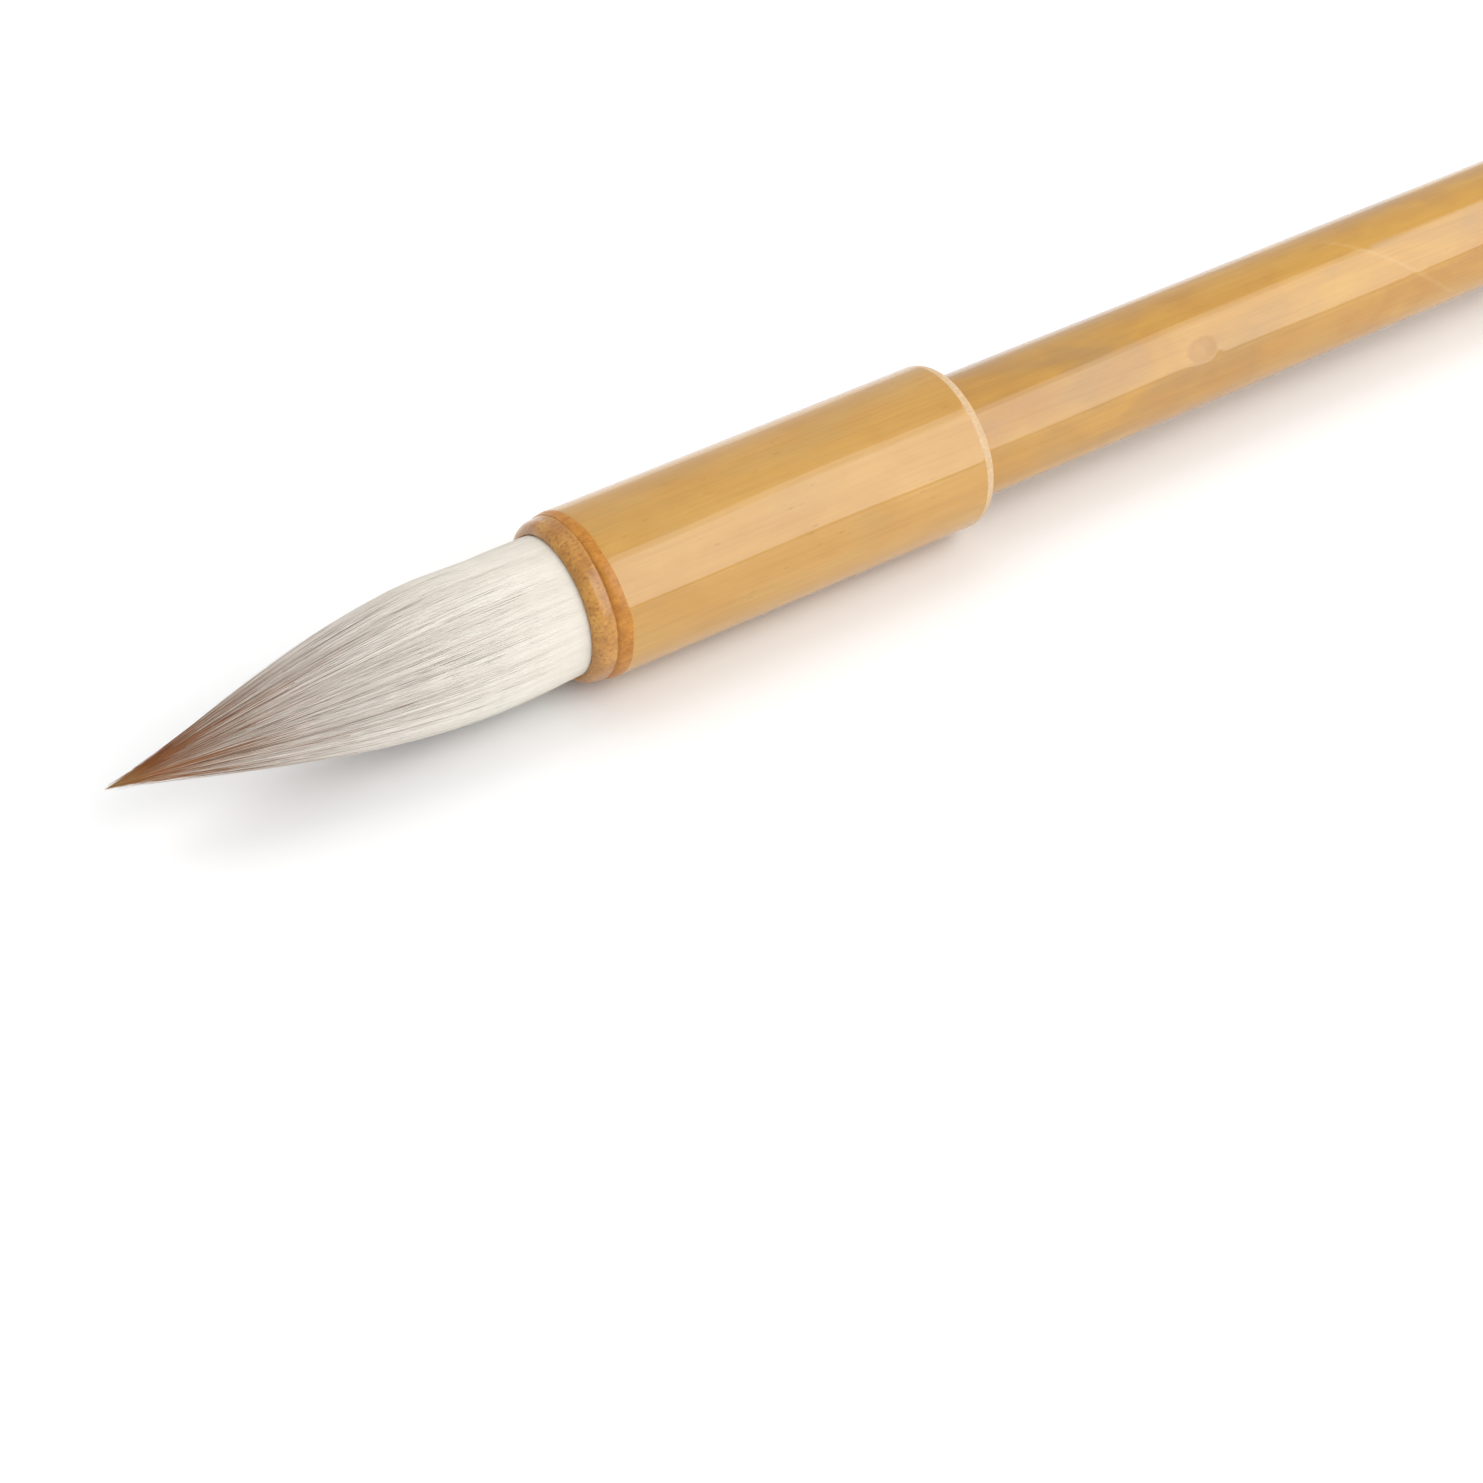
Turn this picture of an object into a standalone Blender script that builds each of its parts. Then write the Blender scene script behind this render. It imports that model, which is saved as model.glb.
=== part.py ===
"""A large calligraphy brush, lying along X with the point of its hair at -X.

A bamboo ferrule joins the two ends of the brush. Its front socket holds the root of the tuft, tied with
thread and set in rosin against a cork disc, and its rear socket takes the bamboo handle. Everything is
turned about one axis, so each piece is a profile of (radius, station) points, where a station is the
distance from the ferrule's mouth, positive towards the tail.
"""

import math

import bpy
from mathutils import Matrix

MM = 0.001

# Driving dimensions
HAIR_LENGTH = 49 * MM
FERRULE_LENGTH = 48.5 * MM
HANDLE_EXPOSED = 186.5 * MM
TAIL_CAP_LENGTH = 6 * MM
FERRULE_RADIUS = 9 * MM
HANDLE_RADIUS = 6.8 * MM
CULM_BORE_RADIUS = 3.5 * MM
GAP = 0.3 * MM
SIDES = 40

# Ferrule
SOCKET_RADIUS = 7.4 * MM
SOCKET_DEPTH = 22 * MM
RIM_LENGTH = 3.5 * MM
RIM_LIP = 0.35 * MM
REAR_CHAMFER = 1.5 * MM
REAR_EDGE_RADIUS = 8.2 * MM

# Handle
HANDLE_SEAT = SOCKET_DEPTH + 2 * MM
PLUG_LENGTH = 10 * MM
CORD_HOLE_RADIUS = 1.2 * MM
CORD_HOLE_SIDES = 24
TAIL_ROUNDING = 2 * MM

# Tuft
MOUTH_HAIR_RADIUS = SOCKET_RADIUS - GAP
BELLY_RADIUS = 7.85 * MM
BELLY_REACH = 9 * MM
BELLY_FULLNESS = 1.8
POINT_SHARPNESS = 1.25
TUFT_START = 2 * MM
TIP_HINGE_REACH = 27 * MM
SHEATH_END_REACH = 40 * MM
MANTLE_THICKNESS = 1.2 * MM
LINING_THICKNESS = 1.5 * MM
POINT_CORE_RADIUS = 1.5 * MM
TUFT_STEP = 4 * MM

# Root of the tuft, inside the socket
DISC_THICKNESS = 3 * MM
TIED_LENGTH = 5 * MM
TIED_RADIUS = 6.1 * MM
THREAD_RADIUS = 0.25 * MM
THREAD_TURNS = 4
THREAD_PITCH = 0.9 * MM
POINTS_PER_TURN = 18

ARC_STEPS = 5
LIP_STEPS = 2
HALF_STEP = math.pi / SIDES
AXIS_HEIGHT = FERRULE_RADIUS * math.cos(HALF_STEP)
HANDLE_END = FERRULE_LENGTH + HANDLE_EXPOSED
TOTAL_LENGTH = HAIR_LENGTH + HANDLE_END + TAIL_CAP_LENGTH
MOUTH_X = HAIR_LENGTH - TOTAL_LENGTH / 2
SHARP_ANGLE = math.radians(30)
MERGE_DISTANCE = 0.005 * MM


def clear_scene():
    for obj in list(bpy.data.objects):
        bpy.data.objects.remove(obj, do_unlink=True)


def new_collection(name):
    collection = bpy.data.collections.new(name)
    bpy.context.scene.collection.children.link(collection)
    return collection


def new_material(name, colour, roughness):
    made = bpy.data.materials.new(name)
    made.use_nodes = True
    shader = made.node_tree.nodes["Principled BSDF"]
    shader.inputs["Base Color"].default_value = (*colour, 1)
    shader.inputs["Roughness"].default_value = roughness
    shader.inputs["Metallic"].default_value = 0
    made.diffuse_color = (*colour, 1)
    return made


def add_frame(name, collection, parent=None, station=0.0):
    """An empty whose Z runs along the brush towards its tail, at a station measured from its parent."""
    frame = bpy.data.objects.new(name, None)
    frame.empty_display_size = FERRULE_RADIUS
    collection.objects.link(frame)
    if parent is None:
        frame.location = (MOUTH_X, 0, AXIS_HEIGHT)
        frame.rotation_euler = (0, math.radians(90), 0)
    else:
        frame.parent = parent
        frame.location = (0, 0, station)
    return frame


def arc(centre, radii, start, end, steps=ARC_STEPS):
    """Points of an elliptical arc about a (radius, station) centre. Angles are in degrees from the radius axis."""
    angles = [math.radians(start + (end - start) * i / steps) for i in range(steps + 1)]
    return [(centre[0] + radii[0] * math.cos(a), centre[1] + radii[1] * math.sin(a)) for a in angles]


def turned_mesh(name, profile, hollow):
    """The profile swept a full turn about Z. It runs down the outer side, and a hollow one closes up the bore."""
    outline = bpy.data.meshes.new(name + "_profile")
    edges = [(i, i + 1) for i in range(len(profile) - 1)]
    if hollow:
        edges.append((len(profile) - 1, 0))
    outline.from_pydata([(radius, 0, station) for radius, station in profile], edges, [])
    sweep = bpy.data.objects.new(name + "_sweep", outline)
    bpy.context.scene.collection.objects.link(sweep)
    screw = sweep.modifiers.new("Turn", "SCREW")
    screw.axis = "Z"
    screw.angle = 2 * math.pi
    screw.steps = SIDES
    screw.render_steps = SIDES
    screw.use_merge_vertices = True
    screw.merge_threshold = MERGE_DISTANCE
    graph = bpy.context.evaluated_depsgraph_get()
    mesh = bpy.data.meshes.new_from_object(sweep.evaluated_get(graph))
    bpy.data.objects.remove(sweep)
    bpy.data.meshes.remove(outline)
    mesh.name = name
    mesh.transform(Matrix.Rotation(HALF_STEP, 4, "Z"))
    mesh.shade_smooth()
    mesh.set_sharp_from_angle(angle=SHARP_ANGLE)
    return mesh


def add_turned(name, profile, frame, material, collection, hollow=False):
    """A turned piece, in its frame. One flat side of the polygon faces the ground."""
    piece = bpy.data.objects.new(name, turned_mesh(name, profile, hollow))
    piece.data.materials.clear()
    piece.data.materials.append(material)
    collection.objects.link(piece)
    piece.parent = frame
    return piece


def add_cross_cutter(name, radius, frame, station, collection):
    """A round bar that goes right through the handle's width, level with the ground."""
    length = 3 * HANDLE_RADIUS
    bpy.ops.mesh.primitive_cylinder_add(vertices=CORD_HOLE_SIDES, radius=radius, depth=length)
    cutter = bpy.context.object
    cutter.name = name
    for holder in list(cutter.users_collection):
        holder.objects.unlink(cutter)
    collection.objects.link(cutter)
    cutter.parent = frame
    cutter.location = (0, 0, station)
    cutter.rotation_euler = (math.radians(90), 0, 0)
    cutter.hide_render = True
    cutter.display_type = "WIRE"
    return cutter


def cut(piece, cutter):
    boolean = piece.modifiers.new("Cut_" + cutter.name, "BOOLEAN")
    boolean.operation = "DIFFERENCE"
    boolean.solver = "EXACT"
    boolean.object = cutter


def tuft_radius(reach):
    """Outer radius of the hair at a distance in front of the mouth: it swells to a belly, then falls to a point."""
    if reach < BELLY_REACH:
        shortfall = 1 - max(reach, 0) / BELLY_REACH
        return BELLY_RADIUS - (BELLY_RADIUS - MOUTH_HAIR_RADIUS) * shortfall**2
    fall = min((reach - BELLY_REACH) / (HAIR_LENGTH - BELLY_REACH), 1)
    return BELLY_RADIUS * (1 - fall**BELLY_FULLNESS) ** POINT_SHARPNESS


def reaches(start, end):
    """Distances from start to end in steps of about TUFT_STEP."""
    count = max(1, round((end - start) / TUFT_STEP))
    return [start + (end - start) * i / count for i in range(count + 1)]


def tuft_layer(outer_inset, inner_inset=None):
    """The profile of one layer of hair from the root to the tip hinge, between two insets from the surface."""
    stops = reaches(-TUFT_START, TIP_HINGE_REACH)
    outer = [(tuft_radius(reach) - outer_inset, -reach) for reach in stops]
    if inner_inset is None:
        return [(0, TUFT_START)] + outer + [(0, -TIP_HINGE_REACH)]
    inner = [(tuft_radius(reach) - inner_inset, -reach) for reach in reversed(stops)]
    return outer + inner


def ferrule_profile():
    """The ferrule's wall: a chamfered rear edge, a plain barrel, and a rounded rim that rolls into the socket."""
    rear_bore = HANDLE_RADIUS + GAP
    rim_wall = FERRULE_RADIUS - SOCKET_RADIUS - RIM_LIP
    rim = arc((FERRULE_RADIUS - rim_wall, RIM_LENGTH), (rim_wall, RIM_LENGTH), 0, -90)
    lip = arc((SOCKET_RADIUS + RIM_LIP, RIM_LIP), (RIM_LIP, RIM_LIP), -90, -180, LIP_STEPS)
    return [
        (rear_bore, FERRULE_LENGTH),
        (REAR_EDGE_RADIUS, FERRULE_LENGTH),
        (FERRULE_RADIUS, FERRULE_LENGTH - REAR_CHAMFER),
        *rim,
        *lip[1:],
        (SOCKET_RADIUS, SOCKET_DEPTH),
        (rear_bore, SOCKET_DEPTH),
    ]


def add_ferrule_sleeve(frame, collection):
    bamboo = new_material("ferrule_bamboo", (0.72, 0.42, 0.13), 0.35)
    return add_turned("ferrule_sleeve", ferrule_profile(), frame, bamboo, collection, hollow=True)


def add_handle_culm(frame, bamboo, collection):
    profile = [
        (CULM_BORE_RADIUS, HANDLE_END),
        (HANDLE_RADIUS, HANDLE_END),
        (HANDLE_RADIUS, HANDLE_SEAT),
        (CULM_BORE_RADIUS, HANDLE_SEAT),
    ]
    return add_turned("handle_culm", profile, frame, bamboo, collection, hollow=True)


def add_culm_front_plug(frame, wood, collection):
    """The peg that closes the handle's bore, flush with its front end."""
    radius = CULM_BORE_RADIUS - GAP
    top = HANDLE_SEAT + PLUG_LENGTH
    profile = [(0, top), (radius, top), (radius, HANDLE_SEAT), (0, HANDLE_SEAT)]
    return add_turned("culm_front_plug", profile, frame, wood, collection)


def add_tail_plug(frame, wood, collection, cutters):
    """The turned cap on the tail, with a tenon in the handle's bore and a cross hole for a hanging cord."""
    tail = HANDLE_END + TAIL_CAP_LENGTH
    shoulder = HANDLE_END + GAP
    tenon = CULM_BORE_RADIUS - GAP
    rounding = arc((HANDLE_RADIUS - TAIL_ROUNDING, tail - TAIL_ROUNDING), (TAIL_ROUNDING, TAIL_ROUNDING), 90, 0)
    profile = [
        (0, tail),
        *rounding,
        (HANDLE_RADIUS, shoulder),
        (tenon, shoulder),
        (tenon, HANDLE_END - PLUG_LENGTH),
        (0, HANDLE_END - PLUG_LENGTH),
    ]
    plug = add_turned("tail_plug", profile, frame, wood, collection)
    middle = (shoulder + tail) / 2
    hole = add_cross_cutter("cord_hole", CORD_HOLE_RADIUS, frame, middle, cutters)
    cut(plug, hole)
    return plug


def add_socket_disc(frame, collection):
    """The cork disc that the root of the tuft is glued against."""
    cork = new_material("cork", (0.45, 0.27, 0.13), 0.85)
    radius = SOCKET_RADIUS - GAP
    front = SOCKET_DEPTH - DISC_THICKNESS
    profile = [(0, SOCKET_DEPTH), (radius, SOCKET_DEPTH), (radius, front), (0, front)]
    return add_turned("socket_disc", profile, frame, cork, collection)


def root_end():
    return SOCKET_DEPTH - DISC_THICKNESS - GAP


def add_rosin_root(frame, collection):
    """The butt of the hair set in rosin, with a waist where the thread is tied."""
    rosin = new_material("rosin_hair", (0.33, 0.17, 0.06), 0.3)
    front = TUFT_START + GAP
    waist = root_end() - TIED_LENGTH
    profile = [
        (0, root_end()),
        (TIED_RADIUS, root_end()),
        (TIED_RADIUS, waist),
        (MOUTH_HAIR_RADIUS, waist - (MOUTH_HAIR_RADIUS - TIED_RADIUS)),
        (MOUTH_HAIR_RADIUS, front),
        (0, front),
    ]
    return add_turned("rosin_root", profile, frame, rosin, collection)


def add_root_binding(frame, collection):
    """The thread wound round the root, as one helix."""
    thread = new_material("binding_thread", (0.75, 0.68, 0.52), 0.8)
    wound_length = THREAD_TURNS * THREAD_PITCH
    start = root_end() - TIED_LENGTH / 2 - wound_length / 2
    radius = TIED_RADIUS + GAP + THREAD_RADIUS
    curve = bpy.data.curves.new("root_binding", "CURVE")
    curve.dimensions = "3D"
    curve.bevel_depth = THREAD_RADIUS
    curve.bevel_resolution = 1
    curve.use_fill_caps = True
    spline = curve.splines.new("POLY")
    count = THREAD_TURNS * POINTS_PER_TURN + 1
    spline.points.add(count - 1)
    for i, point in enumerate(spline.points):
        turn = i / POINTS_PER_TURN
        angle = 2 * math.pi * turn
        point.co = (radius * math.cos(angle), radius * math.sin(angle), start + THREAD_PITCH * turn, 1)
    curve.materials.append(thread)
    binding = bpy.data.objects.new("root_binding", curve)
    collection.objects.link(binding)
    binding.parent = frame
    return binding


def add_mantle_hair(frame, white, collection):
    """The outer layer of hair, from inside the mouth to the tip hinge."""
    return add_turned("mantle_hair", tuft_layer(0, MANTLE_THICKNESS), frame, white, collection, hollow=True)


def add_lining_hair(frame, collection):
    """The middle layer of hair, under the mantle."""
    hair = new_material("lining_hair", (0.72, 0.66, 0.56), 0.7)
    outer = MANTLE_THICKNESS + GAP
    layer = tuft_layer(outer, outer + LINING_THICKNESS)
    return add_turned("lining_hair", layer, frame, hair, collection, hollow=True)


def add_core_hair(frame, collection):
    """The core of long hairs that the other layers are wrapped round."""
    hair = new_material("core_hair", (0.5, 0.33, 0.18), 0.7)
    inset = MANTLE_THICKNESS + LINING_THICKNESS + 2 * GAP
    return add_turned("core_hair", tuft_layer(inset), frame, hair, collection)


def add_tip_hair(frame, collection):
    """The taper beyond the hinge, a sheath round the longest hairs. The frame stands at the tip hinge."""
    hair = new_material("tip_hair", (0.6, 0.45, 0.28), 0.65)
    stops = reaches(TIP_HINGE_REACH + GAP, SHEATH_END_REACH)
    outer = [(tuft_radius(reach), TIP_HINGE_REACH - reach) for reach in stops]
    bore = POINT_CORE_RADIUS + GAP
    inner = [(bore, TIP_HINGE_REACH - SHEATH_END_REACH), (bore, -GAP)]
    return add_turned("tip_hair", outer + inner, frame, hair, collection, hollow=True)


def add_point_hair(frame, collection):
    """The longest hairs: a core inside the sheath, and then the brown point itself."""
    hair = new_material("point_hair", (0.38, 0.17, 0.06), 0.55)
    shoulder = SHEATH_END_REACH + GAP
    point = [(tuft_radius(reach), TIP_HINGE_REACH - reach) for reach in reaches(shoulder, HAIR_LENGTH)]
    profile = [
        (0, -GAP),
        (POINT_CORE_RADIUS, -GAP),
        (POINT_CORE_RADIUS, TIP_HINGE_REACH - shoulder),
        *point,
    ]
    return add_turned("point_hair", profile, frame, hair, collection)


def build():
    clear_scene()
    brush = new_collection("calligraphy_brush")
    cutters = new_collection("cutters")
    bamboo = new_material("handle_bamboo", (0.66, 0.38, 0.12), 0.4)
    wood = new_material("plug_wood", (0.5, 0.28, 0.1), 0.5)
    white = new_material("white_hair", (0.8, 0.76, 0.68), 0.65)

    mouth = add_frame("mouth_centre", brush)
    belly_hinge = add_frame("belly_hinge", brush, mouth)
    tip_hinge = add_frame("tip_hinge", brush, belly_hinge, -TIP_HINGE_REACH)

    add_ferrule_sleeve(mouth, brush)
    add_handle_culm(mouth, bamboo, brush)
    add_culm_front_plug(mouth, wood, brush)
    add_tail_plug(mouth, wood, brush, cutters)
    add_socket_disc(mouth, brush)
    add_rosin_root(mouth, brush)
    add_root_binding(mouth, brush)

    add_mantle_hair(belly_hinge, white, brush)
    add_lining_hair(belly_hinge, brush)
    add_core_hair(belly_hinge, brush)

    add_tip_hair(tip_hinge, brush)
    add_point_hair(tip_hinge, brush)


build()
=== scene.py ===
"""The calligraphy brush, finished: lacquered bamboo, a turned tail plug, and a tuft of separate hairs.

Everything lies along the brush's axis. A station is a distance from the ferrule's mouth towards the tail,
and a reach is a distance from the mouth towards the point of the hair. Angles about the axis run from
+Y towards +Z.
"""

import math

import bmesh
import bpy
import numpy as np
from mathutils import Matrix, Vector


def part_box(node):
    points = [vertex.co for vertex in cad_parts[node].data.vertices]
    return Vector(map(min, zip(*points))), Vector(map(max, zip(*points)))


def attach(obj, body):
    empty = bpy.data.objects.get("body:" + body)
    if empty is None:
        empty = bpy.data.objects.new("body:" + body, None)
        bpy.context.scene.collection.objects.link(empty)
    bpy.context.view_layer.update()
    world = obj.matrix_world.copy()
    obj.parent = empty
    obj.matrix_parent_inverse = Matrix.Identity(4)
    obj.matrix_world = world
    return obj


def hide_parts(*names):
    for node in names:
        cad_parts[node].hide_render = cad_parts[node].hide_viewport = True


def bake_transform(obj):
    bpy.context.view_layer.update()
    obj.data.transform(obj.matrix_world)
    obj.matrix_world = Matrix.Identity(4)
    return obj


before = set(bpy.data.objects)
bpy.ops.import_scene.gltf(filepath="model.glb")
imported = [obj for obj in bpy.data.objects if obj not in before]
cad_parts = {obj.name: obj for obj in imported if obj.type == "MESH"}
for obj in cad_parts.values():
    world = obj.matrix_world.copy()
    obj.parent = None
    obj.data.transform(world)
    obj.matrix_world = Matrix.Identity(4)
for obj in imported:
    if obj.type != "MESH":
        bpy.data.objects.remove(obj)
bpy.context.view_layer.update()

MM = 0.001

# Places and sizes read from the frame
FERRULE_LOW, FERRULE_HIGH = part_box("ferrule_sleeve")
CULM_LOW, CULM_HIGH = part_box("handle_culm")
PLUG_LOW, PLUG_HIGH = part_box("tail_plug")
MANTLE_LOW, MANTLE_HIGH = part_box("mantle_hair")
POINT_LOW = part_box("point_hair")[0]

MOUTH_X = FERRULE_LOW[0]
AXIS_HEIGHT = (FERRULE_LOW[2] + FERRULE_HIGH[2]) / 2
FERRULE_RADIUS = (FERRULE_HIGH[2] - FERRULE_LOW[2]) / 2
FERRULE_LENGTH = FERRULE_HIGH[0] - FERRULE_LOW[0]
HANDLE_RADIUS = (CULM_HIGH[2] - CULM_LOW[2]) / 2
HANDLE_SEAT = CULM_LOW[0] - MOUTH_X
HANDLE_END = CULM_HIGH[0] - MOUTH_X
TAIL_END = PLUG_HIGH[0] - MOUTH_X
TENON_END = PLUG_LOW[0] - MOUTH_X
HAIR_LENGTH = MOUTH_X - POINT_LOW[0]
BELLY_RADIUS = (MANTLE_HIGH[2] - MANTLE_LOW[2]) / 2
TUFT_START = MANTLE_HIGH[0] - MOUTH_X

# Turned pieces: the clearance between glued ones, the share of the largest radius that counts as the
# outer surface, and the angle from which an edge is sharp
GAP = 0.3 * MM
OUTER_SHARE = 0.9
SHARP_ANGLE = math.radians(40)

# Ferrule
SOCKET_RADIUS = 7.4 * MM
SOCKET_DEPTH = 22 * MM
REAR_BORE_RADIUS = 7.1 * MM
REAR_ROUND_LENGTH = 1.5 * MM
REAR_ROUND_DROP = 0.8 * MM
REAR_ROUND_STEPS = 24
CREAM_STEPS = 21
RIM_LENGTH = 3.5 * MM
RIM_GROOVE = 2.25 * MM
GROOVE_DEPTH = 0.37 * MM
GROOVE_FILL = 0.17 * MM
BEAD_SINK = 0.33 * MM
BEAD_TURN = 1.35 * MM
BEAD_DROP = 1.12 * MM
BEAD_STEPS = 18
LIP_LENGTH = 0.4 * MM
LIP_STEPS = 6
LEAN_START = 0.8 * MM
LEAN_END = 14 * MM
LEAN_SIDE = math.radians(200)
FERRULE_STEP = 0.5 * MM
FERRULE_SIDES = 256

# Handle
CULM_BORE_RADIUS = 3.5 * MM
HANDLE_TAPER = 0.15 * MM
TAPER_START = 60 * MM
TAPER_LENGTH = 60 * MM
HANDLE_EDGE = 0.3 * MM
EDGE_STEPS = 4
HANDLE_STEP = 0.45 * MM
HANDLE_SIDES = 192
BUD_STATION = 78.3 * MM
BUD_ANGLE = math.radians(144)
BUD_DEPTH = 0.3 * MM
BUD_SPOT_LENGTH = 2.2 * MM
BUD_SPOT_TURN = 0.22
SCAR_STATION = 107 * MM
SCAR_ANGLE = math.radians(146)
SCAR_PITCH = 8.2 * MM
SCAR_LINE_WIDTH = 0.6 * MM

# Tail plug
TENON_RADIUS = 3.2 * MM
TAIL_ROUNDING = 2 * MM
TAIL_STEPS = 14
FACE_STEPS = 4
TURNED_LINE = 0.12 * MM
PLUG_BEVEL = 0.15 * MM
PLUG_SIDES = 128
PLUG_SHARP_ANGLE = math.radians(35)
CORD_HOLE_RADIUS = 1.2 * MM
CORD_HOLE_SIDES = 48

# Tuft
BELLY_REACH = 9 * MM
BELLY_FULLNESS = 1.8
POINT_SHARPNESS = 1.25
MOUTH_HAIR_RADIUS = 7.4 * MM
UPPER_SIDE = math.radians(44)
LONG_SIDE = math.radians(215)
SAG_DEPTH = 0.45 * MM
SAG_REACH = 7.5 * MM
SAG_WIDTH = 5 * MM
ROOT_REACH = GAP - TUFT_START
SPLIT_REACH = 18.5 * MM
UV_MAP = "OFBake"

# Hairs
WHITE_COUNT = 3300
BROWN_COUNT = 1100
STRAND_SIDES = 4
WHITE_SEGMENTS = 7
BROWN_REAR_SEGMENTS = 4
BROWN_FRONT_SEGMENTS = 12
SHORTEST_STRETCH = 0.3 * MM
HAIR_TAPER = 0.82
CLUMP_COUNT = 34
CLUMP_PULL = 0.62
TONES = 32
BROAD_TONE_SEED = 3
FINE_TONE_SEED = 4

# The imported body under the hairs
PACKED_SHARE = 0.93
PACKED_POINT_GAP = 0.4 * MM
PACKED_SIDES = 480
PACKED_RINGS = 40
PACKED_SEED = 5
PACKED_SHARP_ANGLE = math.radians(70)

# Hair colours, each at its share of the way from the mouth to the point
WHITE_STOPS = [
    (0.0, (0.73, 0.69, 0.61)),
    (0.22, (0.73, 0.7, 0.63)),
    (0.5, (0.72, 0.68, 0.63)),
    (0.75, (0.66, 0.59, 0.52)),
    (0.95, (0.5, 0.36, 0.23)),
]
BROWN_STOPS = [
    (0.3, (0.52, 0.45, 0.4)),
    (0.55, (0.4, 0.3, 0.24)),
    (0.75, (0.27, 0.14, 0.075)),
    (0.9, (0.27, 0.09, 0.02)),
    (1.0, (0.29, 0.17, 0.045)),
]
PACKED_STOPS = [
    (0.0, (0.72, 0.68, 0.6)),
    (0.3, (0.66, 0.61, 0.54)),
    (0.6, (0.42, 0.33, 0.26)),
    (0.8, (0.22, 0.1, 0.045)),
    (1.0, (0.28, 0.13, 0.035)),
]

# View and light
VIEW_AZIMUTH = -34.13
VIEW_ELEVATION = 40.64
VIEW_DISTANCE = 0.3544
VIEW_LENS = 87.4
AIM_FROM_MOUTH = Vector((9.87, -18.94, 0)) * MM
SENSOR_WIDTH = 36
FLOOR_SIZE = 6
SURROUND_STRENGTH = 0.7
SOFT_BOX_DISTANCE = 0.7

# One source of random draws for the hairs, and the angles round the tuft that they gather towards
rng = np.random.default_rng(11)
CLUMPS = (np.arange(CLUMP_COUNT) + rng.uniform(-0.3, 0.3, CLUMP_COUNT)) * 2 * math.pi / CLUMP_COUNT


# --- Node helpers -----------------------------------------------------------


class Shader:
    """One Principled material, with short ways to add the nodes that the materials below share."""

    def __init__(self, name, roughness, specular, coat=0.0, coat_roughness=0.1, coat_ior=1.5):
        self.material = bpy.data.materials.new(name)
        self.material.use_nodes = True
        self.tree = self.material.node_tree
        self.principled = self.tree.nodes["Principled BSDF"]
        inputs = self.principled.inputs
        inputs["Roughness"].default_value = roughness
        inputs["Specular IOR Level"].default_value = specular
        inputs["Coat Weight"].default_value = coat
        inputs["Coat Roughness"].default_value = coat_roughness
        inputs["Coat IOR"].default_value = coat_ior

    def add(self, kind, **settings):
        node = self.tree.nodes.new(kind)
        for key, value in settings.items():
            setattr(node, key, value)
        return node

    def join(self, source, target):
        self.tree.links.new(source, target)

    def place(self):
        """The point in the object's own space, in metres."""
        return self.add("ShaderNodeTexCoord").outputs["Object"]

    def hair_place(self):
        """The hair's own map: across the tuft or the strand in X, along the reach in Y."""
        return self.add("ShaderNodeUVMap", uv_map=UV_MAP).outputs["UV"]

    def scaled(self, vector, scale):
        node = self.add("ShaderNodeMapping")
        node.inputs["Scale"].default_value = scale
        self.join(vector, node.inputs["Vector"])
        return node.outputs["Vector"]

    def noise(self, vector, detail=3.0, distortion=0.0):
        """Noise of scale 1, so that the vector's own scale sets the size of the grain."""
        node = self.add("ShaderNodeTexNoise")
        node.inputs["Scale"].default_value = 1.0
        node.inputs["Detail"].default_value = detail
        node.inputs["Roughness"].default_value = 0.55
        node.inputs["Distortion"].default_value = distortion
        self.join(vector, node.inputs["Vector"])
        return node.outputs["Fac"]

    def cells(self, vector):
        """The distance to the middle of the nearest cell, for cells of about unit size."""
        node = self.add("ShaderNodeTexVoronoi")
        node.inputs["Scale"].default_value = 1.0
        self.join(vector, node.inputs["Vector"])
        return node.outputs["Distance"]

    def ramp(self, value, stops):
        """A colour ramp of (position, colour) stops. A colour is a grey level or three linear values."""
        node = self.add("ShaderNodeValToRGB")
        elements = node.color_ramp.elements
        while len(elements) < len(stops):
            elements.new(1.0)
        for element, (position, colour) in zip(elements, stops):
            element.position = position
            element.color = (*colour, 1) if isinstance(colour, tuple) else (colour, colour, colour, 1)
        self.join(value, node.inputs["Fac"])
        return node.outputs["Color"]

    def mix(self, share, first, second, blend="MIX"):
        node = self.add("ShaderNodeMix", data_type="RGBA", blend_type=blend)
        for socket, value in ((node.inputs[0], share), (node.inputs[6], first), (node.inputs[7], second)):
            self.feed(socket, value)
        return node.outputs[2]

    def feed(self, socket, value):
        """Links a socket, or sets a number or a colour."""
        if isinstance(value, bpy.types.NodeSocket):
            self.join(value, socket)
        elif isinstance(value, tuple):
            socket.default_value = (*value, 1)
        else:
            socket.default_value = value

    def maths(self, operation, first, second=0.0):
        node = self.add("ShaderNodeMath", operation=operation)
        self.feed(node.inputs[0], first)
        self.feed(node.inputs[1], second)
        return node.outputs["Value"]

    def axis_part(self, vector, axis):
        node = self.add("ShaderNodeSeparateXYZ")
        self.join(vector, node.inputs["Vector"])
        return node.outputs[axis]

    def colour(self, socket):
        """Sets the base colour, and gives back the shader."""
        self.join(socket, self.principled.inputs["Base Color"])
        return self

    def bump(self, height, depth, strength):
        node = self.add("ShaderNodeBump")
        node.inputs["Strength"].default_value = strength
        node.inputs["Distance"].default_value = depth
        self.join(height, node.inputs["Height"])
        self.join(node.outputs["Normal"], self.principled.inputs["Normal"])


# --- Mesh helpers -----------------------------------------------------------


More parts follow.
